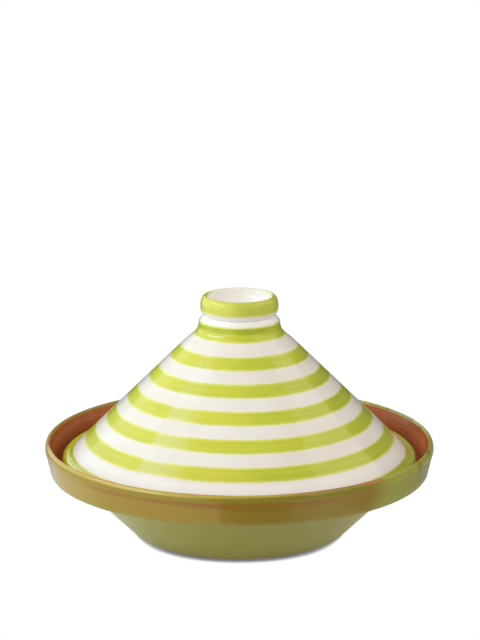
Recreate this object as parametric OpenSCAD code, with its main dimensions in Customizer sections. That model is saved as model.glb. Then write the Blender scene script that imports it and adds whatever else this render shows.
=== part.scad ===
// Tagine: a glazed earthenware cooking pot. A wide dish with an upright rim band carries
// a conical lid, and a hollow cup in the lid's neck stays cool enough to lift it by.
// Millimetres. The foot stands on z = 0, and the axis of the potter's wheel is z.

/* [Dish] */
// Diameter at the widest place, near the top of the rim band
rim_d = 300; // [270:1:340]
// Height from the foot to the top of the lip
dish_h = 70; // [60:0.5:90]
// Height of the upright rim band, from its lower edge to the top of the lip
band_h = 24; // [18:0.5:32]
// Lean of the band's wall, outwards as it rises, in degrees
band_lean = 12.8; // [5:0.1:18]
// Thickness of the bowl's wall and of the band above the ledge
dish_wall = 5.6; // [4.5:0.1:8]
// Width of the step under the band, from its lower edge in to the bowl
step_w = 16.4; // [12:0.1:24]
// Thickness of the ledge that the lid stands on
ledge_t = 5.3; // [4:0.1:8]
// Height of the lip's turned-in top, above the widest place
lip_h = 4.8; // [3:0.1:7]
// How far the crest of the lip turns in from the widest place
lip_in = 2.4; // [1:0.1:3]
// Thickness of the lip, from the widest place to its inner edge
lip_t = 4; // [3.4:0.1:6]
// Diameter of the foot
foot_d = 167; // [140:1:190]
// Radius of the foot's outer edge
foot_round = 2; // [1:0.1:4]
// Width of the ring that the dish stands on
foot_ring_w = 11; // [7:0.5:20]
// Depth of the turned recess inside the foot ring
foot_recess = 1.6; // [1:0.1:3]
// Thickness of the floor
floor_t = 7; // [5:0.1:10]
// Radius inside the dish, where the floor turns up into the wall
floor_round = 20; // [8:0.5:30]

/* [Lid] */
// Height from the ledge to the top of the neck
lid_h = 131.7; // [110:0.1:160]
// Thickness of the cone's wall
lid_wall = 5.6; // [4.5:0.1:8]
// Play between the lid's rolled rim and the foot of the band, all round
lid_play = 4; // [2:0.1:7]
// Height of the lid's half-round rolled rim, from its seat to its top
roll_h = 8.4; // [7:0.1:12]
// How far the rolled rim stands out past the foot of the cone
roll_out = 6.6; // [6:0.1:10]
// Thickness of the rim at its ground seat
rim_t = 8; // [7:0.1:12]
// Depth of the neck, from its top to the line where the cone meets it
neck_depth = 25; // [20:0.1:36]
// Diameter of the upright neck
neck_d = 62.8; // [56:0.1:72]
// Height of the neck's rounded shoulder, up to the groove
shoulder_h = 4.8; // [3:0.1:6]
// Height of the neck's upright part, under the shoulder
upright_h = 0.8; // [0:0.1:4]
// How far outside the neck the cone starts to turn up into it
cove_w = 12; // [4:0.5:20]

/* [Neck cup] */
// Diameter of the bead round the cup's mouth
bead_d = 59.9; // [54:0.1:70]
// Height of the bead, from the groove under it to its crest
bead_h = 15; // [12:0.1:20]
// Height of the bead's widest place above the groove
bead_rise = 7.6; // [5:0.1:9]
// How far the crest of the mouth turns in from the bead's widest place
mouth_in = 3.5; // [2:0.1:4.5]
// Diameter of the groove between the bead and the neck
groove_d = 55.6; // [52:0.1:58]
// Diameter of the mouth
mouth_d = 48.2; // [44:0.1:52]
// Width of the shoulder that seats the cup on the neck
seat_ring_w = 3.9; // [3:0.1:5]
// Thickness of the cup's wall below the bead
cup_wall = 4; // [3:0.1:6]
// Depth of the cup
cup_depth = 28; // [20:0.5:34]
// Thickness of the cup's floor
cup_floor_t = 4.6; // [3:0.1:8]
// Gap that the joining slip fills round the cup's stem, inside the neck
slip_gap = 0.3; // [0.2:0.05:0.8]

/* [Hidden] */

// Facets of a turned surface, and steps in each rounded corner and each curve
$fn = 160;
steps = 8;
// Reach of a curve's handles, as a share of what it travels along each of them
reach = 0.5;
// Radii that a wet sponge leaves on the edges of the clay
sponged = 1.2;
sponged_soft = 2.6;
// Inward run of the slope between the foot ring and its recess
recess_run = 1.5;
// Radius of the corner where the ledge meets the band
gallery_round = 2.4;
// Drop from the crest to the inner edge, on the dish's lip and on the cup's mouth
lip_drop = 1.6;
mouth_drop = 2.2;

// Colours of the glazes
olive = "#8c7d36";
white = "#f2eee2";
lime = "#cad04e";

// The dish, from the foot up. The bowl's wall is a straight flare up to the step.
foot_r = foot_d / 2;
floor_z = foot_recess + floor_t;
step_z = dish_h - band_h;
seat_z = step_z + ledge_t;
rim_r = rim_d / 2;
widest_z = dish_h - lip_h;
// Outer radius of the leaning band at height z, below its widest place
function band_r(z) = rim_r - (widest_z - z) * tan(band_lean);
bowl_r = band_r(step_z) - step_w;
gallery_r = band_r(seat_z) - dish_wall / cos(band_lean);
bowl_slope = atan2(step_z, bowl_r - foot_r);
// Inner radius of the bowl at height z
function bowl_in(z) = foot_r + z / tan(bowl_slope) - dish_wall / sin(bowl_slope);

// The lid, from its seat up. The cone's wall is straight from the rolled rim to the neck.
top_z = seat_z + lid_h;
lid_r = gallery_r - lid_play;
roll_z = seat_z + roll_h;
neck_r = neck_d / 2;
cone_top_z = top_z - neck_depth;
cone_foot_r = lid_r - roll_out;
cone_slope = atan2(cone_top_z - roll_z, cone_foot_r - neck_r);
// Height of the cone's inner face at radius r
function cone_in_z(r) = cone_top_z - (r + lid_wall / sin(cone_slope) - neck_r) * tan(cone_slope);

// The neck cup, with its stem in the neck's bore
groove_z = top_z - bead_h;
groove_r = groove_d / 2;
bore_r = groove_r - seat_ring_w;
stem_r = bore_r - slip_gap;
bead_r = bead_d / 2;
mouth_r = mouth_d / 2;
cup_in_r = stem_r - cup_wall;
cup_floor_z = top_z - cup_depth;

function unit(v) = v / norm(v);

// Points on a curve from a, where it heads along out, to b, where it heads along home.
// The first point is left to the line before it.
function curve(a, out, home, b) = let (
        p = a + reach * (b - a) * unit(out) * unit(out),
        q = b - reach * (b - a) * unit(home) * unit(home)
    ) [for (i = [1:steps]) let (t = i / steps, u = 1 - t)
        u * u * u * a + 3 * u * u * t * p + 3 * u * t * t * q + t * t * t * b];

// Points on the arc that rounds the corner p, between its neighbours a and b. Its radius is
// most, or less where the sides that meet there are short.
function rounded(a, p, b, most) = let (
        u = unit(a - p),
        v = unit(b - p),
        half = acos(u * v) / 2,
        r = min(most, tan(half) * min(norm(a - p), norm(b - p)) / 2),
        c = p + unit(u + v) * r / sin(half),
        start = p + u * r / tan(half) - c,
        from = atan2(start[1], start[0]),
        turn = (180 - 2 * half) * -sign(u[0] * v[1] - u[1] * v[0])
    ) [for (i = [0:steps]) c + r * [cos(from + turn * i / steps), sin(from + turn * i / steps)]];

// An outline from its corners, each one [r, z], or [r, z, radius of its rounding]
function outline(corners) = let (n = len(corners)) [for (i = [0:n - 1]) let (
        p = corners[i],
        a = corners[(i + n - 1) % n],
        b = corners[(i + 1) % n]
    ) each (len(p) == 2 ? [p] : rounded([a[0], a[1]], [p[0], p[1]], [b[0], b[1]], p[2]))];

module turned(corners) {
    rotate_extrude()
        polygon(outline(corners));
}

// The dish: foot ring, flared bowl, ledge for the lid, and the leaning rim band with its lip
module dish() {
    up_band = [sin(band_lean), cos(band_lean)];
    band_top = [band_r(widest_z - lip_h), widest_z - lip_h];
    widest = [rim_r, widest_z];
    crest = [rim_r - lip_in, dish_h];
    inner_edge = [rim_r - lip_t, dish_h - lip_drop];
    down_band = [gallery_r, seat_z] - inner_edge;
    color(olive)
        turned([
            [0, foot_recess],
            [foot_r - foot_ring_w - recess_run, foot_recess],
            [foot_r - foot_ring_w, 0],
            [foot_r, 0, foot_round],
            [bowl_r, step_z, sponged_soft],
            [band_r(step_z), step_z, sponged],
            band_top,
            each curve(band_top, up_band, [0, 1], widest),
            each curve(widest, [0, 1], [-1, 0], crest),
            each curve(crest, [-1, 0], down_band, inner_edge),
            [gallery_r, seat_z, gallery_round],
            [bowl_in(seat_z), seat_z, sponged_soft],
            [bowl_in(floor_z), floor_z, floor_round],
            [0, floor_z]
        ]);
}

// The lid: a rolled rim on a ground seat, the cone, and the neck that holds the cup
module lid() {
    down_cone = [1, -tan(cone_slope)];
    upright_end = [neck_r, groove_z - shoulder_h - upright_h];
    cove_foot = [neck_r + cove_w, cone_top_z - cove_w * tan(cone_slope)];
    roll_r = roll_h / 2;
    roll_top = [lid_r - roll_r, roll_z];
    roll_widest = [lid_r, roll_z - roll_r];
    seat_edge = [lid_r - roll_r, seat_z];
    color(white)
        turned([
            [bore_r, groove_z],
            [groove_r, groove_z],
            [neck_r, groove_z - shoulder_h, sponged_soft],
            upright_end,
            each curve(upright_end, [0, -1], down_cone, cove_foot),
            [cone_foot_r, roll_z, sponged_soft],
            roll_top,
            each curve(roll_top, [1, 0], [0, -1], roll_widest),
            each curve(roll_widest, [0, -1], [-1, 0], seat_edge),
            [lid_r - rim_t, seat_z, sponged],
            [bore_r, cone_in_z(bore_r), sponged]
        ]);
}

// The neck cup: thrown apart and luted in, with a beaded mouth, a stem and a closed floor
module neck_cup() {
    groove = [groove_r, groove_z];
    bead = [bead_r, groove_z + bead_rise];
    crest = [bead_r - mouth_in, top_z];
    inner_edge = [mouth_r, top_z - mouth_drop];
    throat = [cup_in_r, groove_z];
    color(lime)
        turned([
            [0, cup_floor_z - cup_floor_t],
            [stem_r, cup_floor_z - cup_floor_t, cup_wall],
            [stem_r, groove_z],
            groove,
            each curve(groove, [2, 3], [0, 1], bead),
            each curve(bead, [0, 1], [-1, 0], crest),
            each curve(crest, [-1, 0], [0, -1], inner_edge),
            each curve(inner_edge, [0, -1], [0, -1], throat),
            [cup_in_r, cup_floor_z, 2 * cup_wall],
            [0, cup_floor_z]
        ]);
}

dish();
lid();
neck_cup();
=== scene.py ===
"""The looks of a glazed earthenware tagine: a dish, a striped lid and the cup in the lid's neck.

Every piece is thrown: its outline is turned about z by one Geometry Nodes tree, the potter's
wheel, and its glazes are painted on by height and by the way round. Metres, z up, in the frame
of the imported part.
"""

import math

import bpy
from mathutils import Matrix, Vector


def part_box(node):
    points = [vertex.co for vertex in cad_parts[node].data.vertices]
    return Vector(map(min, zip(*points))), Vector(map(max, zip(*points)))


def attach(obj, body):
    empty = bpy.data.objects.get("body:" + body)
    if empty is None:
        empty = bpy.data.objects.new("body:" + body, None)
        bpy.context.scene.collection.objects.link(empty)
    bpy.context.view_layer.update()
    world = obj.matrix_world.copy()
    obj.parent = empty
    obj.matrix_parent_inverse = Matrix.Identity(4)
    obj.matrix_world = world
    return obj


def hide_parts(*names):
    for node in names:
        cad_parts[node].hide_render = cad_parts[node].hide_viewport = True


bl_info = {
    "name": "Tagine pottery",
    "version": (1, 0, 0),
    "blender": (4, 5, 0),
    "location": "3D View > Sidebar > Tagine",
    "description": "Throws and glazes a tagine around its packed parts",
    "category": "Add Mesh",
}

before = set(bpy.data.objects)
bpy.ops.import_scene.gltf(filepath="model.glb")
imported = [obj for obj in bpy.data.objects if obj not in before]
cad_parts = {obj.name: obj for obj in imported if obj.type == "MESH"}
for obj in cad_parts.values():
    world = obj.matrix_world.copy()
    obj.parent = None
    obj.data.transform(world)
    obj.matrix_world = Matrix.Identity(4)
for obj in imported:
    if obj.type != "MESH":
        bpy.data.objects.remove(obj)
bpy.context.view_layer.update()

MM = 0.001
DISH_LOW, DISH_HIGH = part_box("dish")
LID_LOW, LID_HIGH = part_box("lid")
CUP_LOW, CUP_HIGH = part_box("neck_cup")


def linear(code):
    """The linear colour of an sRGB hex code."""
    parts = [int(code[i : i + 2], 16) / 255 for i in (1, 3, 5)]
    return [p / 12.92 if p <= 0.04045 else ((p + 0.055) / 1.055) ** 2.4 for p in parts]


def length(name, text, value, low, high):
    """A length in a property group, written in millimetres."""
    return amount(name, text, value * MM, low * MM, high * MM, unit="LENGTH")


def colour(name, text, code):
    """A colour in a property group, written as an sRGB hex code."""
    return bpy.props.FloatVectorProperty(
        name=name, description=text, default=linear(code), subtype="COLOR", min=0, max=1
    )


def amount(name, text, value, low, high, **more):
    """A plain number in a property group."""
    return bpy.props.FloatProperty(
        name=name, description=text, default=value, min=low, max=high, **more
    )


def whole(name, text, value, low, high):
    """A whole number in a property group."""
    return bpy.props.IntProperty(name=name, description=text, default=value, min=low, max=high)


# --- Sizes and colours that a user would change ---


class TagineWheel(bpy.types.PropertyGroup):
    """How the clay was thrown."""

    steps_round: whole("Steps round", "Facets round every thrown piece", 288, 96, 320)
    side_step: length("Side step", "Longest side left in an outline", 3, 1, 6)
    wobble: length("Wobble", "How far the hands leave the clay out of round", 0.25, 0, 0.6)
    wobble_size: length("Wobble size", "Distance between the uneven places", 70, 20, 200)
    ring_depth: length("Ring depth", "Depth of the spiral that the fingers leave", 0.07, 0, 0.3)
    ring_pitch: length("Ring pitch", "Rise of that spiral for each turn", 5.5, 2, 12)


class TagineDish(bpy.types.PropertyGroup):
    """Sizes of the dish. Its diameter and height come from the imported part."""

    band_h: length("Band height", "From the band's lower edge to the top of the lip", 24, 18, 32)
    band_lean: amount(
        "Band lean",
        "Lean of the band's wall, outwards as it rises",
        *map(math.radians, (12.8, 5, 18)),
        subtype="ANGLE",
    )
    wall: length("Wall", "Thickness of the bowl's wall and of the band", 5.6, 4.5, 8)
    step_w: length("Step", "Width of the step under the band", 16.4, 12, 24)
    ledge_t: length("Ledge", "Thickness of the ledge that the lid stands on", 5.3, 4, 8)
    lip_h: length("Lip height", "Height of the lip's turned-in top", 4.8, 3, 7)
    lip_in: length("Lip turn", "How far the crest turns in from the widest place", 2.4, 1, 3)
    lip_t: length("Lip thickness", "From the widest place to the lip's inner edge", 4, 3.4, 6)
    lip_drop: length("Lip drop", "From the crest of the lip to its inner edge", 1.6, 1, 2.5)
    foot_d: length("Foot", "Diameter of the foot", 167, 140, 190)
    foot_round: length("Foot edge", "Radius of the foot's outer edge", 2, 1, 4)
    ring_w: length("Foot ring", "Width of the ring that the dish stands on", 11, 7, 20)
    recess: length("Recess", "Depth of the turned recess inside the foot ring", 1.6, 1, 3)
    recess_run: length("Recess slope", "Inward run of the slope into the recess", 1.5, 1, 3)
    floor_t: length("Floor", "Thickness of the dish's floor", 7, 5, 10)
    floor_round: length("Floor corner", "Radius where the floor turns up", 20, 8, 30)
    gallery_round: length("Ledge corner", "Radius where the ledge meets the band", 2.4, 1, 4)


class TagineLid(bpy.types.PropertyGroup):
    """Sizes of the lid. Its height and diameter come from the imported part."""

    wall: length("Wall", "Thickness of the cone's wall", 5.6, 4.5, 8)
    roll_h: length("Roll height", "Height of the half-round rolled rim", 8.4, 7, 12)
    roll_out: length("Roll", "How far the rim stands out past the cone", 6.6, 6, 10)
    rim_t: length("Seat", "Thickness of the rim at its ground seat", 8, 7, 12)
    neck_depth: length("Neck depth", "From the mouth to where the cone meets the neck", 25, 20, 36)
    neck_d: length("Neck", "Diameter of the upright neck", 62.8, 56, 72)
    shoulder_h: length("Shoulder", "Height of the rounded shoulder under the groove", 4.8, 3, 6)
    upright_h: length("Upright", "Height of the neck's upright part", 0.8, 0, 4)
    cove_w: length("Cove", "How far out the cone starts to turn up into the neck", 12, 4, 20)


class TagineCup(bpy.types.PropertyGroup):
    """Sizes of the cup in the neck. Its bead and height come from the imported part."""

    bead_rise: length("Bead rise", "Height of the bead's widest place above the groove", 7.6, 5, 9)
    mouth_in: length("Mouth turn", "How far the crest turns in from the bead", 3.5, 2, 4.5)
    mouth_drop: length("Mouth drop", "From the crest of the mouth to its inner edge", 2.2, 1, 3)
    groove_d: length("Groove", "Diameter of the groove under the bead", 55.6, 52, 58)
    mouth_d: length("Mouth", "Diameter of the mouth", 48.2, 44, 52)
    seat_w: length("Seat", "Width of the shoulder that seats the cup", 3.9, 3, 5)
    slip_gap: length("Slip", "Gap filled by slip round the cup's stem", 0.3, 0.2, 0.8)
    wall: length("Wall", "Thickness of the cup's wall below the bead", 4, 3, 6)
    floor_t: length("Floor", "Thickness of the cup's floor", 4.6, 3, 8)


class TagineStripes(bpy.types.PropertyGroup):
    """Where the painter's brush ran, as heights above the table."""

    brush_rise: length("Brush", "Height that one stripe covers on the cone", 8.9, 4, 16)
    pitch: length("Pitch", "Rise from one stripe of the cone to the next", 16.45, 10, 30)
    first: length("First stripe", "Middle of the lowest stripe of the cone", 74.9, 60, 90)
    count: whole("Stripes", "Stripes on the cone", 5, 1, 9)
    rim_top: length("Rim stripe", "Top of the stripe on the rolled rim", 62.0, 55, 66)
    collar: length("Collar", "Middle of the stripe on the collar", 158.8, 150, 165)
    collar_rise: length("Collar height", "Height of the collar's stripe", 11.1, 4, 16)
    bead_foot: length("Bead stripe", "Foot of the stripe on the bead", 171.9, 168, 178)
    fringe: length("Fringe", "Width over which the paint thins out at an edge", 1.7, 0.3, 4)
    waver: length("Waver", "How far the brush strays up and down", 0.45, 0, 2)


class TagineColours(bpy.types.PropertyGroup):
    """Colours of the clay and of the glazes over it."""

    white: colour("White", "Tin glaze", "#f3ede2")
    # Thick white: the cup's inside, and painted light in the groove under the bead and at the foot
    # of the cone
    white_thick_and_painted_light: colour("Thick white", "Tin glaze pooled in the cup", "#faf7f0")
    white_warm: colour("Warm white", "Tin glaze where it is thinner over the clay", "#ece3d5")
    lime: colour("Lime", "The paint in one coat", "#d8d64e")
    lime_pale: colour("Pale lime", "The paint where the brush left little", "#e8ea92")
    # Deep lime: thick paint, and also painted shade on the right and at the front of the neck
    lime_deep: colour("Deep lime", "The paint where it lies thick", "#a8ba34")
    # Worn lime: the paler lime at the front left of the cone, and a little on the bead
    lime_paled: colour("Worn lime", "The paint where the brush ran dry", "#dadd92")
    # Full lime: painted shade at the far left of the stripes
    lime_painted_shade: colour("Full lime", "The paint where the brush was fresh", "#c9cf0c")
    olive: colour("Olive", "The dish's glaze where it lies thick", "#a29c45")
    honey: colour("Honey", "The dish's glaze in a middling coat", "#a68529")
    # Brown: painted shade on the band's right half
    honey_painted_shade: colour("Brown", "The same coat where it lies a little thicker", "#967724")
    # Pale olive: painted light low on the bowl
    olive_painted_light: colour("Pale olive", "The dish's glaze down by the foot", "#b1ab4d")
    russet: colour("Russet", "The dish's glaze where the red clay shows through", "#a06a22")
    # Painted highlight on the top of the lip, and painted light on the band's left
    gold_painted_light: colour("Gold", "The dish's glaze where it runs off the lip", "#c6ad4e")
    amber: colour("Amber", "The dish's glaze where it breaks over the inner edge", "#c4713a")
    # Pooled: the line round the lip, the runs in the moss, and painted shadow under the step
    pooled_and_step_shadow: colour("Pooled", "The dish's glaze where it gathered under the lip", "#8c822a")
    moss: colour("Moss", "The dish's glaze where two coats overlap", "#a6a848")
    clay_wet: colour("Glazed clay", "Red clay under clear glaze", "#be6230")
    clay_dry: colour("Bare clay", "Red clay with no glaze", "#b9714c")


class TagineStudio(bpy.types.PropertyGroup):
    """The camera and the light."""

    distance: length("Distance", "From the pot's axis to the camera", 1694.3, 500, 5000)
    height: length("Height", "Height of the camera above the table", 564.9, 100, 3000)
    aside: length("Aside", "How far the camera stands to the right of the axis", 0.45, -50, 50)
    tilt: amount("Tilt", "How far the camera looks down", 0.23266, 0, 1.5, subtype="ANGLE")
    lens: amount(
        "Lens", "Focal length on a sensor whose long side is 36 mm", 128.2, 20, 400, unit="CAMERA"
    )
    cool: colour("Left tint", "Colour of the lights on the left", "#f0faff")
    left: amount("Left panel", "Radiance of the panel on the left", 0.95, 0, 10)
    high: amount("High panel", "Radiance of the panel above the left one", 0.7, 0, 10)
    key: amount("Key", "Radiance of the softbox high on the left", 6.0, 0, 20)
    strip: amount("Strip", "Radiance of the bright strip over the key", 6.0, 0, 40)
    warm: colour("Right tint", "Colour of the light on the right", "#fffaf3")
    right: amount("Right panel", "Radiance of the panel on the right", 0.9, 0, 10)
    rim: amount("Rim", "Radiance of the softbox behind on the left", 2.0, 0, 20)
    side: amount("Side fill", "Radiance of the light behind on the left", 2.2, 0, 10)
    far: amount("Far fill", "Radiance of the light behind on the right", 2.0, 0, 20)
    top: amount("Top fill", "Radiance of the light above the camera", 2.1, 0, 20)
    front: amount("Front fill", "Radiance of the wide light by the camera", 1.25, 0, 10)
    ambient: amount("Ambient", "Light from all round on dull surfaces", 0.29, 0, 2)
    walls: amount("Walls", "What the glaze mirrors where no panel stands", 0.08, 0, 1)
    floor: amount("Floor", "How pale the floor is", 0.85, 0.1, 0.95)
    floor_flag: amount("Floor in shade", "Share of light left on the front of it", 0.15, 0, 1)
    contact: length("Contact shadow", "Reach of the dark line under the pot", 8.2, 2, 60)


GROUPS = {
    "wheel": TagineWheel,
    "dish": TagineDish,
    "lid": TagineLid,
    "cup": TagineCup,
    "stripes": TagineStripes,
    "colours": TagineColours,
    "studio": TagineStudio,
}


class TagineSettings(bpy.types.PropertyGroup):
    """Everything that the operators read."""

    __annotations__ = {key: bpy.props.PointerProperty(type=group) for key, group in GROUPS.items()}


# --- Outlines, as [r, z] from the axis of the wheel ---

CURVE_STEPS = 12
REACH = 0.5
SPONGED = 1.2 * MM
SPONGED_SOFT = 2.6 * MM


def curve(a, out, home, b):
    """Points from a, where it heads along out, to b, where it heads along home. Not a itself."""
    a, out, home, b = Vector(a), Vector(out), Vector(home), Vector(b)
    p = a + REACH * (b - a).project(out)
    q = b - REACH * (b - a).project(home)
    points = []
    for i in range(1, CURVE_STEPS + 1):
        t = i / CURVE_STEPS
        u = 1 - t
        points.append(tuple(u**3 * a + 3 * u * u * t * p + 3 * u * t * t * q + t**3 * b))
    return points


def rounded(a, p, b, most):
    """Points on the arc that rounds the corner p. Short neighbours keep its radius down."""
    a, p, b = Vector(a), Vector(p), Vector(b)
    u, v = (a - p).normalized(), (b - p).normalized()
    half = u.angle(v) / 2
    radius = min(most, math.tan(half) * min((a - p).length, (b - p).length) / 2)
    centre = p + (u + v).normalized() * radius / math.sin(half)
    start = p + u * radius / math.tan(half) - centre
    first = math.atan2(start.y, start.x)
    turn = math.copysign(math.pi - 2 * half, v.x * u.y - v.y * u.x)
    angles = [first + turn * i / CURVE_STEPS for i in range(CURVE_STEPS + 1)]
    return [(centre.x + radius * math.cos(t), centre.y + radius * math.sin(t)) for t in angles]


def outline(corners):
    """An outline from its corners, each (r, z), or (r, z, radius of its rounding)."""
    points = []
    for i, corner in enumerate(corners):
        before, after = corners[i - 1][:2], corners[(i + 1) % len(corners)][:2]
        points += rounded(before, corner[:2], after, corner[2]) if len(corner) > 2 else [corner]
    return points


def divided(points, step):
    """The outline with its long sides cut up, and with a point close to each end of them."""
    out = [points[0]]
    for a, b in zip(points, points[1:]):
        a, b = Vector(a), Vector(b)
        side = (b - a).length
        if side > step:
            near = 0.1 * step / side
            cuts = math.ceil(side / step)
            shares = [near, *[k / cuts for k in range(1, cuts)], 1 - near]
            out += [tuple(a.lerp(b, t)) for t in shares]
        out.append(tuple(b))
    return out


def dish_outline(size):
    """The dish from under its foot, up the outside, over the lip and down the inside."""
    height = DISH_HIGH.z
    rim_r = DISH_HIGH.x
    foot_r = size.foot_d / 2
    floor_z = size.recess + size.floor_t
    step_z = height - size.band_h
    seat_z = step_z + size.ledge_t
    widest_z = height - size.lip_h

    def band_r(z):
        return rim_r - (widest_z - z) * math.tan(size.band_lean)

    bowl_r = band_r(step_z) - size.step_w
    gallery_r = band_r(seat_z) - size.wall / math.cos(size.band_lean)
    slope = math.atan2(step_z, bowl_r - foot_r)

    def bowl_in(z):
        return foot_r + z / math.tan(slope) - size.wall / math.sin(slope)

    up_band = (math.sin(size.band_lean), math.cos(size.band_lean))
    band_top = (band_r(widest_z - size.lip_h), widest_z - size.lip_h)
    widest = (rim_r, widest_z)
    crest = (rim_r - size.lip_in, height)
    inner_edge = (rim_r - size.lip_t, height - size.lip_drop)
    down_band = (gallery_r - inner_edge[0], seat_z - inner_edge[1])
    points = outline([
        (0, size.recess),
        (foot_r - size.ring_w - size.recess_run, size.recess),
        (foot_r - size.ring_w, 0),
        (foot_r, 0, size.foot_round),
        (bowl_r, step_z, SPONGED_SOFT),
        (band_r(step_z), step_z, SPONGED),
        band_top,
        *curve(band_top, up_band, (0, 1), widest),
        *curve(widest, (0, 1), (-1, 0), crest),
        *curve(crest, (-1, 0), down_band, inner_edge),
        (gallery_r, seat_z, size.gallery_round),
        (bowl_in(seat_z), seat_z, SPONGED_SOFT),
        (bowl_in(floor_z), floor_z, size.floor_round),
        (0, floor_z),
    ])
    return points, [(foot_r - size.ring_w, 0), inner_edge]


def lid_outline(size, cup):
    """The lid from the cup's seat, down the outside, round the roll and up the inside."""
    top_z, seat_z, groove_z, lid_r = CUP_HIGH.z, LID_LOW.z, LID_HIGH.z, LID_HIGH.x
    groove_r = cup.groove_d / 2
    bore_r = groove_r - cup.seat_w
    neck_r = size.neck_d / 2
    roll_z = seat_z + size.roll_h
    cone_top_z = top_z - size.neck_depth
    cone_foot_r = lid_r - size.roll_out
    slope = math.atan2(cone_top_z - roll_z, cone_foot_r - neck_r)
    fall = math.tan(slope)

    def cone_in_z(r):
        return cone_top_z - (r + size.wall / math.sin(slope) - neck_r) * fall

    roll_r = size.roll_h / 2
    upright_end = (neck_r, groove_z - size.shoulder_h - size.upright_h)
    cove_foot = (neck_r + size.cove_w, cone_top_z - size.cove_w * fall)
    roll_top = (lid_r - roll_r, roll_z)
    roll_widest = (lid_r, roll_z - roll_r)
    seat_edge = (lid_r - roll_r, seat_z)
    seat_end = (lid_r - size.rim_t, seat_z, SPONGED)
    points = outline([
        (bore_r, groove_z),
        (groove_r, groove_z),
        (neck_r, groove_z - size.shoulder_h, SPONGED_SOFT),
        upright_end,
        *curve(upright_end, (0, -1), (1, -fall), cove_foot),
        (cone_foot_r, roll_z, SPONGED_SOFT),
        roll_top,
        *curve(roll_top, (1, 0), (0, -1), roll_widest),
        *curve(roll_widest, (0, -1), (-1, 0), seat_edge),
        seat_end,
        (bore_r, cone_in_z(bore_r), SPONGED),
        (bore_r, groove_z),
    ])
    return points, [(groove_r, groove_z), seat_edge, (lid_r - size.rim_t, seat_z)]


def cup_outline(size):
    """The cup from under its floor, up the stem, over the bead and down the inside."""
    top_z, groove_z, bead_r = CUP_HIGH.z, LID_HIGH.z, CUP_HIGH.x
    groove_r = size.groove_d / 2
    stem_r = groove_r - size.seat_w - size.slip_gap
    inside_r = stem_r - size.wall
    floor_z = CUP_LOW.z + size.floor_t
    groove = (groove_r, groove_z)
    bead = (bead_r, groove_z + size.bead_rise)
    crest = (bead_r - size.mouth_in, top_z)
    inner_edge = (size.mouth_d / 2, top_z - size.mouth_drop)
    throat = (inside_r, groove_z)
    points = outline([
        (0, CUP_LOW.z),
        (stem_r, CUP_LOW.z, size.wall),
        (stem_r, groove_z),
        groove,
        *curve(groove, (2, 3), (0, 1), bead),
        *curve(bead, (0, 1), (-1, 0), crest),
        *curve(crest, (-1, 0), (0, -1), inner_edge),
        *curve(inner_edge, (0, -1), (0, -1), throat),
        (inside_r, floor_z, 2 * size.wall),
        (0, floor_z),
    ])
    return points, [groove, inner_edge]


# --- Node trees ---


def add(tree, kind, inputs=(), **settings):
    """A new node with its plain inputs, its links and its settings."""
    node = tree.nodes.new(kind)
    for key, value in settings.items():
        setattr(node, key, value)
    for key, value in dict(inputs).items():
        if isinstance(value, bpy.types.NodeSocket):
            tree.links.new(value, node.inputs[key])
        else:
            node.inputs[key].default_value = value
    return node


def tree_of(*values):
    """The node tree that a value comes from. At least one of them is a socket."""
    return next(v.id_data for v in values if isinstance(v, bpy.types.NodeSocket))


def calc(operation, *values):
    """The result of a sum on one, two or three values."""
    node = add(tree_of(*values), "ShaderNodeMath", dict(enumerate(values)), operation=operation)
    return node.outputs[0]


def vector(operation, *values):
    """The result of a sum on places: a number for a length or a dot product, else a place."""
    inputs = dict(enumerate(values))
    node = add(tree_of(*values), "ShaderNodeVectorMath", inputs, operation=operation)
    return node.outputs["Value" if operation in ("LENGTH", "DOT_PRODUCT") else "Vector"]


def fold(operation, first, *others):
    """One sum carried on over many values, such as all of them added up."""
    for other in others:
        first = calc(operation, first, other)
    return first


# The runs of an outline that take a finish of their own, in order along it
ORDINALS = ("First", "Second", "Third", "Fourth")
# Within this radius the wall is moved in less and less, as there is no room at the axis
STILL_RADIUS = 20 * MM
# Points of the turned wall closer than this are one, at the axis and where the turn closes
WELD = 0.002 * MM
# The wheel's sizes, as its inputs are called. Their properties have the same names, written small
WHEEL_SIZES = ("Wobble", "Wobble size", "Ring depth", "Ring pitch")


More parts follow.
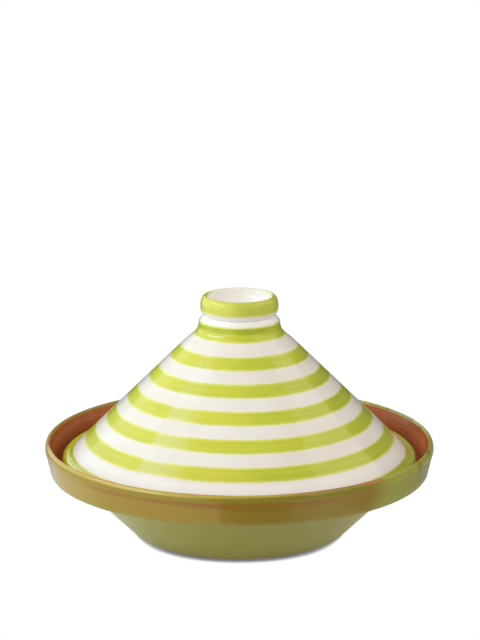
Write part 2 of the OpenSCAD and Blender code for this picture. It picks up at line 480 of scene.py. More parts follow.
def potters_wheel():
    """The Geometry Nodes tree that turns an outline in the xz plane about z.

    The turned wall is moved in a little by an uneven hand and by the fingers' spiral, each worked
    out from the height and the way round, so that pieces that meet still meet.
    """
    tree = bpy.data.node_groups.new("potters_wheel", "GeometryNodeTree")
    tree.is_modifier = True
    face = tree.interface
    face.new_socket("Outline", in_out="INPUT", socket_type="NodeSocketGeometry")
    sockets = [("Steps round", "Int")]
    sockets += [(name, "Float") for name in WHEEL_SIZES]
    for ordinal in ORDINALS:
        sockets.append((f"{ordinal} material", "Material"))
        if ordinal != "First":
            sockets.append((f"{ordinal} from", "Float"))
    for name, kind in sockets:
        face.new_socket(name, in_out="INPUT", socket_type="NodeSocket" + kind)
    face.new_socket("Turned", in_out="OUTPUT", socket_type="NodeSocketGeometry")
    given = add(tree, "NodeGroupInput").outputs

    # One row of the grid for each point of the outline, and one column for each step round
    size = add(tree, "GeometryNodeAttributeDomainSize", {"Geometry": given["Outline"]})
    columns = calc("ADD", given["Steps round"], 1)
    cells = {"Vertices X": size.outputs["Point Count"], "Vertices Y": columns}
    grid = add(tree, "GeometryNodeMeshGrid", cells)
    index = add(tree, "GeometryNodeInputIndex").outputs[0]
    row = calc("FLOOR", calc("DIVIDE", calc("ADD", index, 0.5), columns))
    column = calc("SUBTRACT", index, calc("MULTIPLY", row, columns))
    share = calc("DIVIDE", column, given["Steps round"])
    angle = calc("MULTIPLY", share, 2 * math.pi)
    cos, sin = calc("COSINE", angle), calc("SINE", angle)

    def sampled(value, kind):
        inputs = {"Geometry": given["Outline"], "Value": value, "Index": row}
        return add(tree, "GeometryNodeSampleIndex", inputs, data_type=kind).outputs[0]

    def turned(radius, height):
        x, y = (calc("MULTIPLY", part, radius) for part in (cos, sin))
        return add(tree, "ShaderNodeCombineXYZ", {0: x, 1: y, 2: height}).outputs[0]

    position = add(tree, "GeometryNodeInputPosition").outputs[0]
    point = sampled(position, "FLOAT_VECTOR")
    point = add(tree, "ShaderNodeSeparateXYZ", {0: point}).outputs
    run = add(tree, "GeometryNodeInputNamedAttribute", {"Name": "run"}, data_type="FLOAT")
    run = run.outputs[0]

    # The uneven hand: noise sampled on a drum as wide as the pot, by height
    drum = calc("DIVIDE", DISH_HIGH.x, given["Wobble size"])
    place = turned(drum, calc("DIVIDE", point["Z"], given["Wobble size"]))
    uneven = calc("MULTIPLY", noise(place), given["Wobble"])

    # The fingers' spiral: a wave up the wall that gains one pitch in a turn
    rings = calc("DIVIDE", point["Z"], given["Ring pitch"])
    turns = calc("MULTIPLY_ADD", rings, 2 * math.pi, angle)
    wave = calc("MULTIPLY_ADD", calc("SINE", turns), 0.5, 0.5)
    inward = calc("MULTIPLY_ADD", wave, given["Ring depth"], uneven)
    ease = calc("MINIMUM", calc("MULTIPLY", point["X"], 1 / STILL_RADIUS), 1.0)
    radius = calc("SUBTRACT", point["X"], calc("MULTIPLY", inward, ease))

    steps = [
        ("StoreNamedAttribute", {"Name": "run", "Value": sampled(run, "FLOAT")}),
        ("SetPosition", {"Position": turned(radius, point["Z"])}),
        ("MergeByDistance", {"Distance": WELD}),
        ("SetShadeSmooth", {}),
        ("RealizeInstances", {}),
        ("SetMaterial", {"Material": given["First material"]}),
    ]
    for ordinal in ORDINALS[1:]:
        beyond = calc("GREATER_THAN", run, given[f"{ordinal} from"])
        inputs = {"Selection": beyond, "Material": given[f"{ordinal} material"]}
        steps.append(("SetMaterial", inputs))
    shape = grid.outputs["Mesh"]
    for kind, inputs in steps:
        shape = add(tree, "GeometryNode" + kind, {"Geometry": shape, **inputs}).outputs[0]
    add(tree, "NodeGroupOutput", {0: shape})
    return tree


def throw(context, name, points, changes, finishes):
    """Turns an outline into a piece. Each finish but the first starts at one of changes."""
    wheel = context.scene.tagine.wheel
    points = divided(points, wheel.side_step)
    runs = [0.0]
    for a, b in zip(points, points[1:]):
        runs.append(runs[-1] + (Vector(b) - Vector(a)).length)
    mesh = bpy.data.meshes.new(name + "_outline")
    edges = [(i, i + 1) for i in range(len(points) - 1)]
    mesh.from_pydata([(r, 0, z) for r, z in points], edges, [])
    mesh.attributes.new("run", "FLOAT", "POINT").data.foreach_set("value", runs)
    lump = bpy.data.objects.new(name + "_lump", mesh)
    context.scene.collection.objects.link(lump)

    tree = bpy.data.node_groups.get("potters_wheel") or potters_wheel()
    sockets = {s.name: s.identifier for s in tree.interface.items_tree if s.in_out == "INPUT"}
    modifier = lump.modifiers.new("wheel", "NODES")
    modifier.node_group = tree
    starts = [nearest_run(points, runs, place) for place in changes]
    names = ("Steps round", *WHEEL_SIZES)
    inputs = {name: getattr(wheel, name.lower().replace(" ", "_")) for name in names}
    for k, ordinal in enumerate(ORDINALS):
        inputs[f"{ordinal} material"] = finishes[min(k, len(finishes) - 1)]
        if k > 0:
            inputs[f"{ordinal} from"] = starts[k - 1] if k <= len(starts) else runs[-1]
    for key, value in inputs.items():
        modifier[sockets[key]] = value

    evaluated = lump.evaluated_get(context.evaluated_depsgraph_get())
    turned = bpy.data.meshes.new_from_object(evaluated)
    turned.name = name
    piece = bpy.data.objects.new(name, turned)
    context.scene.collection.objects.link(piece)
    bpy.data.objects.remove(lump)
    if not turned.polygons:
        raise RuntimeError(f"the wheel made nothing of {name}")
    if enclosed(turned) < 0:
        turned.flip_normals()
    return piece


def nearest_run(points, runs, place):
    """How far along the outline the point nearest to a place is."""
    place = Vector(place)
    return min(zip(points, runs), key=lambda pair: (Vector(pair[0]) - place).length)[1]


def enclosed(mesh):
    """The volume that a closed mesh holds. It is negative if the mesh is inside out."""
    mesh.calc_loop_triangles()
    total = 0.0
    for triangle in mesh.loop_triangles:
        a, b, c = (mesh.vertices[i].co for i in triangle.vertices)
        total += a.dot(b.cross(c))
    return total / 6


def mount(piece, node, body):
    """Puts a finished piece in the place of its node."""
    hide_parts(node)
    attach(piece, body)


# --- Clay and glazes ---

# How rough a glaze is that was fired glassy, and how strongly every surface here bends light
GLASSY = 0.08
IOR = 1.5

# Bearings on the pot, in degrees to the right of its front
BACK = 180
PALE_ENDS = (49, -112)  # the pale patch is what both of these sides face
SHADED_SIDE = 75  # the lime's painted shade is deepest
MIRRORED_SHADE = 6  # the neck's lime is deeper, a painted reflection of the floor in shade
LEFT_PANEL_SHADE = -95  # painted shade: the lime is deepest here, past where the left panel is mirrored
BAND_SHADE = 82  # painted shade: the band is browner on this side
BAND_LIGHT = -90  # painted light: the band is golder on this side
LIT_LIP = -60  # the lip's painted highlight reaches furthest down
LIP_HIGHLIGHT = -40  # the lip's painted highlight
POURED = 104  # two pours of olive overlap
SWELLING = 41.5  # the amber line is widest
AMBER = 30  # the amber line is unbroken
AMBER_SIDES = (-20, 135)  # it fades away from the first, and ends at the second's edge


def emptied(owner):
    """The node tree of a new material or world, with nothing in it."""
    owner.use_nodes = True
    owner.node_tree.nodes.clear()
    return owner.node_tree


def new_material(name):
    """An empty material, its tree, and the place on the pot that its patterns go by."""
    material = bpy.data.materials.new(name)
    tree = emptied(material)
    return material, tree, add(tree, "ShaderNodeTexCoord").outputs["Object"]


def wheel_place(where):
    """A place as the wheel has it: its bearing as a unit vector, its radius and its height."""
    flat = vector("MULTIPLY", where, (1, 1, 0))
    around = vector("NORMALIZE", flat)
    radius = vector("LENGTH", flat)
    z = add(tree_of(where), "ShaderNodeSeparateXYZ", {0: where}).outputs["Z"]
    return around, radius, z


def noise(vector_in, detail=2.0, roughness=0.5):
    """Noise from 0 to 1 that changes over about one unit of its vector."""
    inputs = {"Vector": vector_in, "Scale": 1.0, "Detail": detail, "Roughness": roughness}
    return add(tree_of(vector_in), "ShaderNodeTexNoise", inputs).outputs[0]


def brushed(around, z, per_radian, rise, seed):
    """A place for noise that the wheel drew out: long round the pot and short up it."""
    ringed = vector("MULTIPLY_ADD", around, (per_radian, per_radian, 0), (seed, seed, 0))
    lifted = add(tree_of(z), "ShaderNodeCombineXYZ", {2: calc("DIVIDE", z, rise)})
    return vector("ADD", ringed, lifted.outputs[0])


def spread(value, low, high, to_low=0.0, to_high=1.0):
    """A value eased from low..high to to_low..to_high."""
    inputs = dict(enumerate((value, low, high, to_low, to_high)))
    node = add(tree_of(value), "ShaderNodeMapRange", inputs, interpolation_type="SMOOTHSTEP")
    return node.outputs[0]


def blend(share, a, b):
    """Colour a, or b as share goes to 1."""
    a, b = (c if isinstance(c, bpy.types.NodeSocket) else (*c, 1) for c in (a, b))
    inputs = {0: share, 6: a, 7: b}
    return add(tree_of(share), "ShaderNodeMix", inputs, data_type="RGBA").outputs[2]


def gloss(tree, base, roughness, bump):
    """The surface: a glassy coat whose colour lies under it."""
    inputs = {"Base Color": base, "Roughness": roughness, "IOR": IOR, "Normal": bump}
    shader = add(tree, "ShaderNodeBsdfPrincipled", inputs)
    add(tree, "ShaderNodeOutputMaterial", {"Surface": shader.outputs[0]})


def relief(height, distance):
    """A bump from a height of 0 to 1."""
    inputs = {"Strength": 1.0, "Distance": distance, "Height": height}
    return add(tree_of(height), "ShaderNodeBump", inputs).outputs[0]


def scaled(where, size):
    """A place for noise whose grain is that size, the same in every direction."""
    return vector("MULTIPLY", where, (1 / size, 1 / size, 1 / size))


def toward(around, degrees):
    """1 on the side that faces a bearing, counted from the front, and -1 on the far side."""
    angle = math.radians(degrees)
    return vector("DOT_PRODUCT", around, (math.sin(angle), -math.cos(angle), 0))


def inside_stripes(height, stripes):
    """How far inside the nearest stripe a height lies. It is negative between the stripes."""
    # The first and the last stripe run on past the edge of the clay
    past = 2 * MM
    rim = (stripes.rim_top + LID_LOW.z) / 2 - past
    bead = (stripes.bead_foot + CUP_HIGH.z) / 2 + past
    cone = [(stripes.first + k * stripes.pitch, stripes.brush_rise) for k in range(stripes.count)]
    depths = []
    for middle, rise in (
        (rim, 2 * (stripes.rim_top - rim)),
        *cone,
        (stripes.collar, stripes.collar_rise),
        (bead, 2 * (bead - stripes.bead_foot)),
    ):
        off = calc("ABSOLUTE", calc("SUBTRACT", height, middle))
        depths.append(calc("SUBTRACT", rise / 2, off))
    return fold("MAXIMUM", *depths)


def striped_glaze(stripes, colours, cup):
    """Opaque tin glaze with brushed lime stripes, fired glassy. White, with thin streaky paint."""
    material, tree, where = new_material("tin_glaze_lime_stripes")
    around, radius, z = wheel_place(where)

    # The brush strays slowly up and down as the wheel turns
    stray = noise(brushed(around, z, 1.3, 30 * MM, 3.0))
    stray = calc("MULTIPLY_ADD", stray, 2 * stripes.waver, -stripes.waver)
    inside = inside_stripes(calc("ADD", z, stray), stripes)

    # Bristles fray the edge, and leave streaks along the stripe
    fray = noise(brushed(around, z, 16, 3 * MM, 7.0), 3.0)
    frayed = calc("MULTIPLY_ADD", fray, 0.9 * MM, inside)
    frayed = calc("SUBTRACT", frayed, 0.45 * MM)
    # The brush went over the crest of the mouth, least at the back
    over = spread(toward(around, BACK), 0.2, 0.9, 2.1 * MM, 0.5 * MM)
    reached = calc("SUBTRACT", CUP_HIGH.x - cup.mouth_in, over)
    crest = calc("SUBTRACT", radius, reached)
    outside = calc("MAXIMUM", crest, calc("SUBTRACT", LID_HIGH.z, z))
    frayed = calc("MINIMUM", frayed, outside)
    streaks = noise(brushed(around, z, 1.6, 1.5 * MM, 11.0), 3.0, 0.6)
    patches = noise(brushed(around, z, 1.2, 22 * MM, 5.0), 2.0)
    neck = calc("GREATER_THAN", z, (LID_HIGH.z + CUP_LOW.z) / 2)
    collar = calc("MULTIPLY", neck, calc("LESS_THAN", z, LID_HIGH.z))
    bead_here = calc("SUBTRACT", neck, collar)

    # On the cone the lime is paler for a hand's width at the front left, least near the neck
    one_end, other_end = (toward(around, side) for side in PALE_ENDS)
    paled = fold(
        "MULTIPLY",
        spread(one_end, 0.0, 0.05),
        spread(other_end, -0.1, 0.25),
        spread(z, 105 * MM, 125 * MM, 0.75, 0.25),
        spread(streaks, 0.25, 0.7, 0.5, 1.1),
        calc("SUBTRACT", 1.0, neck),
    )
    # The edge is soft, and softer where the lime is paler
    edge_high = calc("MULTIPLY_ADD", paled, 1.6 * MM, 0.45 * MM)
    edge = spread(frayed, -0.35 * MM, edge_high)
    body_high = calc("MULTIPLY_ADD", paled, 2 * MM, stripes.fringe)
    body = spread(frayed, -0.1 * MM, body_high)

    # Painted shade: the lime is deeper towards the right, where the lights reach least, and deepest
    # past the end of the right panel's reflection. The neck's stripes took more paint, less towards
    # the right.
    shaded_side = toward(around, SHADED_SIDE)
    more = calc("MULTIPLY", collar, spread(shaded_side, 0.7, 0.97, 0.5, 0.0))
    # Painted reflection of the floor in shade before the pot: the neck's lime is deeper at the
    # front
    mirrored_shade = spread(toward(around, MIRRORED_SHADE), 0.96, 0.975, 0.0, 0.15)
    mirrored_shade = calc("MULTIPLY", neck, mirrored_shade)
    thick = fold(
        "ADD",
        spread(shaded_side, -0.1, 0.5, 0.0, 0.38),
        spread(shaded_side, 0.93, 0.985, 0.0, 0.3),
        calc("ADD", more, mirrored_shade),
        spread(streaks, 0.25, 0.75, -0.15, 0.15),
        spread(patches, 0.3, 0.7, -0.15, 0.2),
    )
    thick = calc("MULTIPLY", thick, calc("MULTIPLY_ADD", bead_here, -0.45, 1.0))
    coat = calc("MULTIPLY", body, thick)
    paled = calc("MULTIPLY_ADD", bead_here, 0.15, paled)
    # Painted shade: at the far left, past where the left panel is mirrored, the lime is full and
    # deep
    left_shade = spread(toward(around, LEFT_PANEL_SHADE), 0.905, 0.93)
    lime = blend(paled, colours.lime, colours.lime_paled)
    lime = blend(left_shade, lime, colours.lime_painted_shade)
    lime = blend(body, colours.lime_pale, lime)
    lime = blend(coat, lime, colours.lime_deep)

    # Painted light: the white is brighter in the groove under the bead and at the foot of the cone,
    # lifting the shade there
    cloud = noise(scaled(where, 40 * MM), 2.0)
    white = blend(spread(cloud, 0.3, 0.8), colours.white, colours.white_warm)
    groove = calc("ABSOLUTE", calc("SUBTRACT", z, LID_HIGH.z))
    painted_lift = spread(groove, 1.5 * MM, 4 * MM, 1.0, 0.0)
    painted_lift = calc("MAXIMUM", painted_lift, spread(z, 67 * MM, 71 * MM, 0.8, 0.0))
    white = blend(painted_lift, white, colours.white_thick_and_painted_light)
    base = blend(edge, white, lime)

    # Paint stands a little proud of the glaze round it, and the glaze itself is gently uneven
    melt = noise(scaled(where, 9 * MM), 1.0)
    height = calc("MULTIPLY_ADD", edge, 0.15, melt)
    height = calc("MULTIPLY_ADD", streaks, 0.15, height)
    gloss(tree, base, GLASSY, relief(height, 0.06 * MM))
    return material


def white_glaze(colours):
    """Plain tin glaze, as inside the cup: opaque, warm white and glassy."""
    material, tree, where = new_material("tin_glaze_white")
    cloud = noise(scaled(where, 25 * MM), 2.0)
    base = blend(spread(cloud, 0.3, 0.8), colours.white_thick_and_painted_light, colours.white)
    melt = noise(scaled(where, 9 * MM), 1.0)
    gloss(tree, base, GLASSY, relief(melt, 0.06 * MM))
    return material


def olive_glaze(colours, dish):
    """Translucent olive glaze over red clay: green where thick, golden on the band, with painted
    light, shade and a painted highlight on the lip.
    """
    material, tree, where = new_material("olive_glaze_on_red_clay")
    around, radius, z = wheel_place(where)
    streaks = noise(brushed(around, z, 2.2, 1.6 * MM, 2.0), 3.0, 0.6)
    patches = noise(brushed(around, z, 1.5, 14 * MM, 9.0), 2.0)
    # The glaze sagged while it was wet, so that nothing follows the wheel exactly
    sag = calc("MULTIPLY_ADD", patches, 3 * MM, -1.5 * MM)
    level = calc("ADD", z, sag)
    top = DISH_HIGH.z
    step_z = top - dish.band_h

    # The bowl and the foot of the band took the thickest coat
    thick = spread(level, step_z - 1 * MM, step_z + 4 * MM, 1.0, 0.1)
    thick = calc("ADD", thick, spread(streaks, 0.25, 0.75, -0.12, 0.12))
    # Painted shade: the honey coat is browner from the front round to the right
    band_shade = spread(toward(around, BAND_SHADE), 0.0, 0.15)
    honey = blend(band_shade, colours.honey, colours.honey_painted_shade)
    # Painted light: the band is paler and golder on the left, where the lights reach most
    band_light = spread(toward(around, BAND_LIGHT), 0.6, 0.85, 0.0, 0.35)
    honey = blend(band_light, honey, colours.gold_painted_light)
    # Painted light: the olive is paler down by the foot, against the shade near the floor
    olive = blend(spread(z, 6 * MM, 34 * MM), colours.olive_painted_light, colours.olive)
    coat = blend(thick, honey, olive)
    # Under the lip it ran thin, and the clay reddens it there
    thin = fold(
        "MULTIPLY",
        spread(level, top - 11 * MM, top - 7 * MM),
        spread(z, top - 6.2 * MM, top - 5.3 * MM, 1.0, 0.0),
        spread(patches, 0.35, 0.6, 0.25, 0.9),
    )
    coat = blend(thin, coat, colours.russet)
    # It gathered in a line round the lip, less at the left. Painted highlight: the top of the lip
    # is golden at the front, reaching furthest down at the left
    left = spread(toward(around, LIT_LIP), 0.35, 0.85)
    line = spread(z, top - 6.0 * MM, top - 5.0 * MM)
    line = calc("MULTIPLY", line, calc("MULTIPLY_ADD", left, -0.3, 0.8))
    coat = blend(line, coat, colours.pooled_and_step_shadow)
    lip_highlight = spread(toward(around, LIP_HIGHLIGHT), 0.3, 0.75)
    run = calc("MULTIPLY_ADD", left, 1.0 * MM, z)
    run = calc("MULTIPLY_ADD", patches, 1.6 * MM, run)
    run = spread(run, top - 0.9 * MM, top - 0.2 * MM)
    run = calc("MULTIPLY", run, calc("MULTIPLY", lip_highlight, 0.85))
    coat = blend(run, coat, colours.gold_painted_light)
    # Painted shadow: it is darker under the step
    step_shadow = spread(z, step_z - 9 * MM, step_z - 1 * MM, 0.0, 0.45)
    step_shadow = calc("MULTIPLY", step_shadow, calc("LESS_THAN", z, step_z + 1.5 * MM))
    coat = blend(step_shadow, coat, colours.pooled_and_step_shadow)
    # On one side the pour overlapped and stayed green, with runs down it at its thickest
    pour = calc("MULTIPLY_ADD", patches, 0.1, toward(around, POURED))
    runs = spread(noise(brushed(around, z, 13, 60 * MM, 17.0), 2.0), 0.48, 0.6)
    runs = calc("MULTIPLY", runs, spread(pour, 0.72, 0.84, 0.0, 0.85))
    moss = blend(runs, colours.moss, colours.pooled_and_step_shadow)
    above = spread(level, step_z - 1 * MM, step_z + 3 * MM, 0.35, 1.0)
    mossy = calc("MULTIPLY", spread(pour, 0.46, 0.62, 0.0, 0.9), above)
    coat = blend(mossy, coat, moss)
    # It breaks amber here and there over the inner edge of the lip
    edge_r = DISH_HIGH.x - dish.lip_in
    swell = spread(toward(around, SWELLING), 0.993, 0.999, 0.0, 1.0 * MM)
    inner = calc("SUBTRACT", radius, swell)
    broken = noise(brushed(around, z, 5, 20 * MM, 13.0), 2.0)
    broken = spread(broken, 0.35, 0.6, 0.15, 1.0)
    whole_here = spread(toward(around, AMBER), 0.955, 0.975, 0.0, 0.75)
    fading, ending = (toward(around, side) for side in AMBER_SIDES)
    inner = fold(
        "MULTIPLY",
        spread(inner, edge_r + 0.2 * MM, edge_r + 0.8 * MM, 1.0, 0.0),
        calc("GREATER_THAN", z, top - 2.5 * MM),
        calc("MAXIMUM", broken, whole_here),
        spread(fading, -0.2, 0.3, 0.15, 1.0),
        spread(ending, -0.02, 0.01, 1.0, 0.1),
    )
    coat = blend(inner, coat, colours.amber)
    # The foot was wiped clean
    bare = calc("LESS_THAN", z, calc("MULTIPLY", streaks, 0.7 * MM))
    base = blend(bare, coat, colours.clay_dry)
    rough = calc("MULTIPLY_ADD", bare, 0.7, GLASSY)
    melt = noise(scaled(where, 8 * MM), 1.0)
    height = calc("MULTIPLY_ADD", streaks, 0.35, melt)
    gloss(tree, base, rough, relief(height, 0.07 * MM))
    return material


def clay_base(clay, shade, fine, broad, high):
    """Clay that goes from a darker shade up to its own colour, by a fine and a broad noise."""
    tone = calc("ADD", calc("MULTIPLY", *fine), calc("MULTIPLY", *broad))
    return blend(spread(tone, 0.35, high), [shade * c for c in clay], clay)


def clear_glaze(colours):
    """Clear glaze over red clay, as inside the pot: wet terracotta with the wheel's rings in it."""
    material, tree, where = new_material("clear_glaze_on_red_clay")
    around, _, z = wheel_place(where)
    rings = noise(brushed(around, z, 1.8, 2 * MM, 6.0), 3.0, 0.6)
    cloud = noise(scaled(where, 30 * MM), 2.0)
    base = clay_base(colours.clay_wet, 0.62, (rings, 0.6), (cloud, 0.6), 0.85)
    # The corner of the ledge was sponged, and is dull
    dull = spread(z, LID_LOW.z + 8 * MM, LID_LOW.z + 14 * MM, 0.8, 0.2)
    gloss(tree, base, dull, relief(rings, 0.05 * MM))
    return material


def bare_clay(colours):
    """Unglazed red earthenware, sponged: dull, with fine grog in it."""
    material, tree, where = new_material("bare_red_clay")
    grog = noise(scaled(where, 0.7 * MM), 3.0, 0.7)
    cloud = noise(scaled(where, 18 * MM), 2.0)
    base = clay_base(colours.clay_dry, 0.7, (grog, 0.5), (cloud, 0.7), 0.9)
    gloss(tree, base, 0.85, relief(grog, 0.1 * MM))
    return material


# --- The stage, in metres ---

UP = Vector((0, 0, 1))
SQUARE = ((-1, -1), (1, -1), (1, 1), (-1, 1))
FLOOR_HALF = 20.0
WALL_HALF, WALL_LOW, WALL_HIGH = 6.0, -1, 5.0
# The floor lies this far under the foot, so that the two don't share a plane
FLOOR_DROP = 0.1 * MM
# The darkest of the painted shadow under the pot, and an untinted light
CONTACT = linear("#767371")
WHITE = linear("#ffffff")
# What the lights are turned to face
POT = (0.0, 0.0, 0.09)
# Where the panels stand to the left and to the right of the pot
SIDE = 1.3
# The left panel fades out towards the back, so that its edge doesn't show in the glaze: the name
# of each part, its share of the light, and where it starts and stops
LEFT_PANELS = (
    ("left_panel", 1.0, -4.0, 1.5),
    ("left_panel_fading", 0.8, 1.5, 1.85),
    ("left_panel_faded", 0.5, 1.85, 2.3),
    ("left_panel_faint", 0.3, 2.3, 2.9),
    ("left_panel_last", 0.15, 2.9, 4.2),
)


def area_light(context, name, middle, axes, width, height, radiance, tint):
    """A rectangular light of a given radiance that the camera doesn't see. Its axes are along, up
    and back."""
    lamp = bpy.data.lights.new(name, "AREA")
    lamp.shape = "RECTANGLE"
    lamp.size = width
    lamp.size_y = height
    lamp.energy = radiance * math.pi * width * height
    lamp.color = tint
    light = bpy.data.objects.new(name, lamp)
    turn = Matrix(axes).transposed().to_4x4()
    light.matrix_world = Matrix.Translation(middle) @ turn
    light.visible_camera = False
    context.scene.collection.objects.link(light)
    return light


def panel(context, name, near, far, low, high, radiance, tint):
    """An upright light panel between two points of the table's plane, facing the pot."""
    near, far = Vector((*near, 0)), Vector((*far, 0))
    along = (far - near).normalized()
    back = along.cross(UP)
    middle = (near + far) / 2 + UP * (low + high) / 2
    if back.dot(middle) < 0:
        along, back = -along, -back
    width, height = (far - near).length, high - low
    return area_light(context, name, middle, (along, UP, back), width, height, radiance, tint)


def softbox(context, name, place, width, height, radiance, tint, up=UP):
    """A softbox at a place, turned to face the pot."""
    back = (Vector(place) - Vector(POT)).normalized()
    along = Vector(up).cross(back).normalized()
    axes = (along, back.cross(along), back)
    return area_light(context, name, place, axes, width, height, radiance, tint)


def shown_white(tree):
    """1 for the camera and for what mirrors or glass show, and 0 for light that falls on things."""
    path = add(tree, "ShaderNodeLightPath").outputs
    seen = calc("MAXIMUM", path["Is Camera Ray"], path["Is Glossy Ray"])
    return calc("MAXIMUM", seen, path["Is Transmission Ray"])


def set_piece(context, name, corners, faces, material):
    """A plain mesh for the stage."""
    mesh = bpy.data.meshes.new(name)
    mesh.from_pydata(corners, [], faces)
    mesh.materials.append(material)
    piece = bpy.data.objects.new(name, mesh)
    context.scene.collection.objects.link(piece)
    return piece


def make_floor(context, studio):
    """A pale floor that burns out to white, but for a painted shadow where the pot touches it."""
    material, tree, where = new_material("pale_floor")
    path = add(tree, "ShaderNodeLightPath").outputs
    reach = vector("LENGTH", where)

    # Painted shade darkens the floor in front of the pot, as a flag would, and less so on each
    # side. Each starts and stops at a bearing to the right of the front, with so soft an edge in
    # millimetres at each end, and leaves a share of the light.
    beyond = spread(reach, 185 * MM, 205 * MM)
    shares = []
    for start, stop, start_blur, stop_blur, left in (
        (-8, 22, 3, 25, studio.floor_flag),
        (48, 178, 25, 25, 0.45),
        (-178, -122, 60, 60, 0.4),
    ):
        shade = beyond
        for degrees, side, blur in ((start, 1, start_blur), (stop, -1, stop_blur)):
            angle = math.radians(degrees)
            across = (side * math.cos(angle), side * math.sin(angle), 0)
            off = vector("DOT_PRODUCT", where, across)
            past = spread(off, -blur * MM, blur * MM)
            shade = calc("MULTIPLY", shade, past)
        shares.append(calc("MULTIPLY_ADD", shade, left - 1, 1.0))
    lit = fold("MULTIPLY", *shares)
    # As the glaze mirrors it, the table ends in the dark a metre off, and has painted light under
    # the pot
    mirrored = path["Is Glossy Ray"]
    ends = calc("MULTIPLY", spread(reach, 0.5, 1.0), mirrored)
    under = calc("MULTIPLY", spread(reach, 0.15, 0.175, 0.6, 0.0), mirrored)
    lit = fold(
        "MULTIPLY",
        lit,
        calc("MULTIPLY_ADD", ends, -0.9, 1.0),
        calc("ADD", under, 1.0),
        studio.floor,
    )

    # To the camera it is burnt out, and only a painted shadow under the foot stays dark, drawn from
    # ambient occlusion. It reaches furthest to the front.
    ahead = add(tree, "ShaderNodeSeparateXYZ", {0: where}).outputs["Y"]
    shadow_reach = spread(calc("DIVIDE", ahead, reach), -1.0, -0.2, 1.0, 0.1)
    distance = calc("MULTIPLY", shadow_reach, studio.contact)
    open_sky = add(tree, "ShaderNodeAmbientOcclusion", {"Distance": distance}, samples=16)
    clear = calc("MULTIPLY_ADD", shadow_reach, -0.6, 0.6)
    clear = calc("ADD", clear, spread(open_sky.outputs["AO"], 0.1, 1.0))
    burnt_out = blend(spread(clear, 0, 1), CONTACT, WHITE)
    glow = add(tree, "ShaderNodeEmission", {"Color": burnt_out}).outputs[0]
    dull = add(tree, "ShaderNodeBsdfDiffuse", {"Color": lit}).outputs[0]
    seen = add(tree, "ShaderNodeMixShader", {0: path["Is Camera Ray"], 1: dull, 2: glow})
    add(tree, "ShaderNodeOutputMaterial", {"Surface": seen.outputs[0]})
    corners = [(x * FLOOR_HALF, y * FLOOR_HALF, -FLOOR_DROP) for x, y in SQUARE]
    floor = set_piece(context, "floor", corners, [(0, 1, 2, 3)], material)


def make_walls(context, studio):
    """Dark walls and a ceiling round the set, which only the glaze's reflections see."""
    material = bpy.data.materials.new("studio_wall")
    tree = emptied(material)
    glow = add(tree, "ShaderNodeEmission", {"Strength": studio.walls})
    add(tree, "ShaderNodeOutputMaterial", {"Surface": glow.outputs[0]})
    corners = [(x * WALL_HALF, y * WALL_HALF, z) for z in (WALL_LOW, WALL_HIGH) for x, y in SQUARE]
    faces = [(0, 1, 5, 4), (1, 2, 6, 5), (2, 3, 7, 6), (3, 0, 4, 7), (4, 5, 6, 7)]
    walls = set_piece(context, "studio_walls", corners, faces, material)
    walls.visible_camera = False
    walls.visible_diffuse = False
    walls.visible_transmission = False
    walls.visible_shadow = False


def make_world(context, studio):
    """White behind everything, and a soft light from all round."""
    world = bpy.data.worlds.new("studio")
    tree = emptied(world)
    strength = calc("MULTIPLY_ADD", shown_white(tree), 1 - studio.ambient, studio.ambient)
    sky = add(tree, "ShaderNodeBackground", {"Strength": strength})
    add(tree, "ShaderNodeOutputWorld", {"Surface": sky.outputs[0]})
    context.scene.world = world


def make_lights(context, studio):
    """The panels and softboxes that the glaze mirrors, and the fills that only light it."""
    cool, warm = studio.cool, studio.warm
    for name, share, near, far in LEFT_PANELS:
        panel(context, name, (-SIDE, near), (-SIDE, far), 0.02, 1.2, share * studio.left, cool)
    panel(context, "high_panel", (-SIDE, -2.0), (-SIDE, 1.2), 1.22, 2.5, studio.high, cool)
    right = ((SIDE, -1.55), (SIDE, 0.85))
    panel(context, "right_panel", *right, 0.5, 1.98, studio.right, warm)
    low = panel(context, "low_panel", *right, 0.02, 0.5, studio.right, warm)
    low.visible_glossy = False
    strip_up = (0.62, 0.2, 0.76)
    strip = softbox(
        context, "strip_light", (-1.1, -0.33, 0.77), 1.15, 0.2, studio.strip, cool, strip_up
    )
    strip.visible_diffuse = False
    softbox(context, "rim_softbox", (-0.6, 1.9, 1.1), 0.66, 0.9, studio.rim, cool)
    # The glaze would mirror these in the wrong place, so they only fill
    for name, place, width, height, radiance, tint in (
        ("key_softbox", (-0.74, -0.23, 0.89), 0.6, 0.3, studio.key, cool),
        ("side_fill", (-1.5, 1.9, 0.8), 1.0, 1.0, studio.side, cool),
        ("far_fill", (1.5, 1.5, 0.8), 1.0, 1.0, studio.far, warm),
        ("front_fill", (-0.5, -2.4, 1.0), 2.4, 1.4, studio.front, WHITE),
        ("top_fill", (0.2, -1.5, 2.4), 1.6, 1.0, studio.top, warm),
    ):
        fill = softbox(context, name, place, width, height, radiance, tint)
        fill.visible_glossy = False


def make_camera(context, studio):
    """The camera, in front of the pot and looking a little down on it."""
    data = bpy.data.cameras.new("camera")
    data.lens = studio.lens
    data.sensor_width = 36
    data.clip_end = 100
    camera = bpy.data.objects.new("camera", data)
    camera.location = (studio.aside, -studio.distance, studio.height)
    camera.rotation_euler = (math.pi / 2 - studio.tilt, 0, 0)
    context.scene.collection.objects.link(camera)
    context.scene.camera = camera


# --- Operators ---


class TAGINE_OT_dish(bpy.types.Operator):
    """Throw and glaze the dish"""

    bl_idname = "tagine.dish"
    bl_label = "Throw the dish"

    def execute(self, context):
        settings = context.scene.tagine
        points, changes = dish_outline(settings.dish)
        clay = bare_clay(settings.colours)
        olive = olive_glaze(settings.colours, settings.dish)
        finishes = [clay, olive, clear_glaze(settings.colours)]
        piece = throw(context, "glazed_dish", points, changes, finishes)
        mount(piece, "dish", "dish")
        return {"FINISHED"}


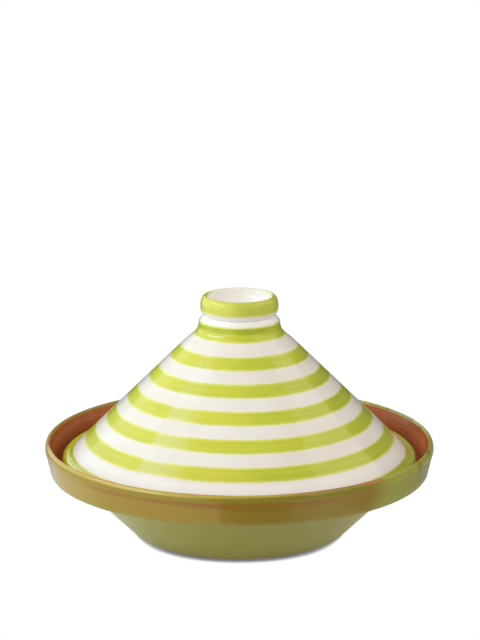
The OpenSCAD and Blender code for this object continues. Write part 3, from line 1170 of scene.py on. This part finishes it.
class TAGINE_OT_lid(bpy.types.Operator):
    """Throw the lid and paint its stripes"""

    bl_idname = "tagine.lid"
    bl_label = "Throw the lid"

    def execute(self, context):
        settings = context.scene.tagine
        points, changes = lid_outline(settings.lid, settings.cup)
        clay = bare_clay(settings.colours)
        stripes = striped_glaze(settings.stripes, settings.colours, settings.cup)
        finishes = [clay, stripes, clay, clear_glaze(settings.colours)]
        piece = throw(context, "striped_lid", points, changes, finishes)
        mount(piece, "lid", "lid")
        return {"FINISHED"}


class TAGINE_OT_neck_cup(bpy.types.Operator):
    """Throw the cup in the lid's neck"""

    bl_idname = "tagine.neck_cup"
    bl_label = "Throw the neck cup"

    def execute(self, context):
        settings = context.scene.tagine
        points, changes = cup_outline(settings.cup)
        clay = bare_clay(settings.colours)
        stripes = striped_glaze(settings.stripes, settings.colours, settings.cup)
        white = white_glaze(settings.colours)
        piece = throw(context, "beaded_neck_cup", points, changes, [clay, stripes, white])
        mount(piece, "neck_cup", "lid")
        return {"FINISHED"}


class TAGINE_OT_stage(bpy.types.Operator):
    """Set up the floor, the light and the camera"""

    bl_idname = "tagine.stage"
    bl_label = "Set the stage"

    def execute(self, context):
        studio = context.scene.tagine.studio
        make_floor(context, studio)
        make_walls(context, studio)
        make_world(context, studio)
        make_camera(context, studio)
        make_lights(context, studio)
        context.scene.view_settings.view_transform = "Standard"
        return {"FINISHED"}


class TAGINE_PT_panel(bpy.types.Panel):
    """The tagine's steps, in the order of the work"""

    bl_idname = "TAGINE_PT_panel"
    bl_label = "Tagine"
    bl_space_type = "VIEW_3D"
    bl_region_type = "UI"
    bl_category = "Tagine"

    def draw(self, context):
        for step in STEPS:
            self.layout.operator(step.bl_idname)


STEPS = (TAGINE_OT_dish, TAGINE_OT_lid, TAGINE_OT_neck_cup, TAGINE_OT_stage)
CLASSES = (*GROUPS.values(), TagineSettings, *STEPS, TAGINE_PT_panel)


def register():
    for cls in CLASSES:
        bpy.utils.register_class(cls)
    bpy.types.Scene.tagine = bpy.props.PointerProperty(type=TagineSettings)


def unregister():
    del bpy.types.Scene.tagine
    for cls in reversed(CLASSES):
        bpy.utils.unregister_class(cls)


def main():
    register()
    bpy.ops.tagine.dish()
    bpy.ops.tagine.lid()
    bpy.ops.tagine.neck_cup()
    bpy.ops.tagine.stage()


if __name__ == "__main__":
    main()
